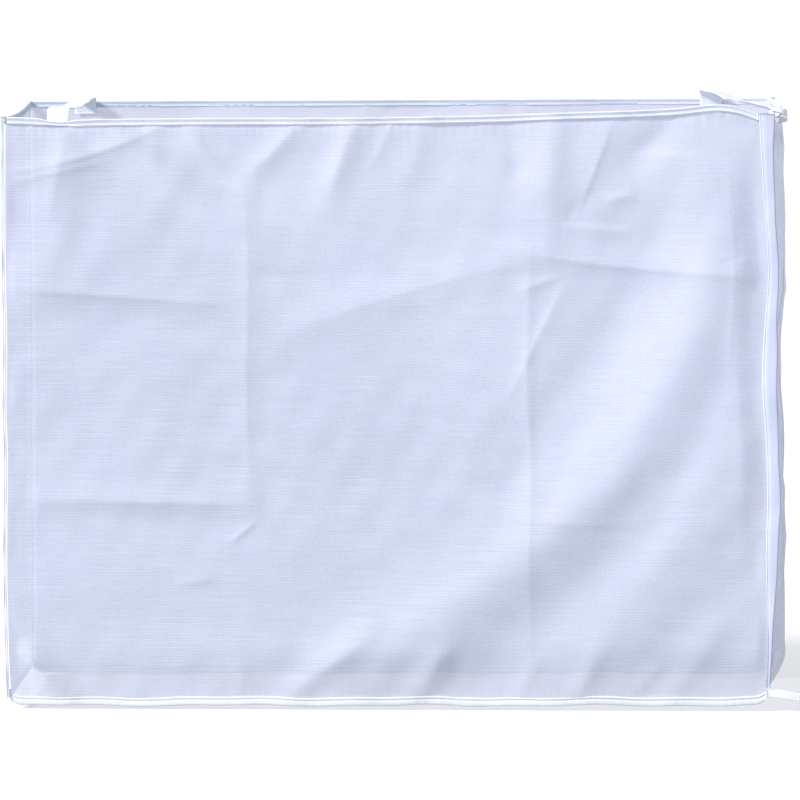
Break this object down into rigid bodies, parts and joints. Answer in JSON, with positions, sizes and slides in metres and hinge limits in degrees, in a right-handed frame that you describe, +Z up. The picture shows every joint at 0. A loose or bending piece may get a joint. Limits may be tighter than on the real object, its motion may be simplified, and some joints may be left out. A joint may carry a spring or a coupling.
{
  "type": "fitted mesh cover for an outdoor air conditioner unit",
  "caption": "Sheer mesh cover, an open box of four sewn panels with taped edges, webbing straps over the open top and a drawstring end at the bottom corner.",
  "frame": {"origin": "middle of the open top, level with the undersides of the straps where they lie on the unit", "axes": "+X to the right along the front panel's width, +Y from the front panel to the back one, +Z up"},
  "size_m": [0.8999, 0.3409, 0.6833],
  "materials": {
    "mesh": "sheer fine white polyester mesh with a cool tint, matt",
    "binding": "white woven tape, matt",
    "webbing": "white woven strap, matt"
  },
  "bodies": {
    "root": {"panel_front": "mesh", "panel_back": "mesh", "panel_left": "mesh", "panel_right": "mesh", "top_binding_front": "binding", "top_binding_back": "binding", "top_binding_left": "binding", "top_binding_right": "binding", "bottom_binding_front": "binding", "bottom_binding_back": "binding", "bottom_binding_left": "binding", "bottom_binding_right": "binding", "seam_front_left": "binding", "seam_front_right": "binding", "seam_back_right": "binding", "seam_back_left": "binding", "strap_left": "webbing", "strap_right": "webbing", "strap_end": "webbing", "tie_end": "binding"}
  },
  "joints": []
}
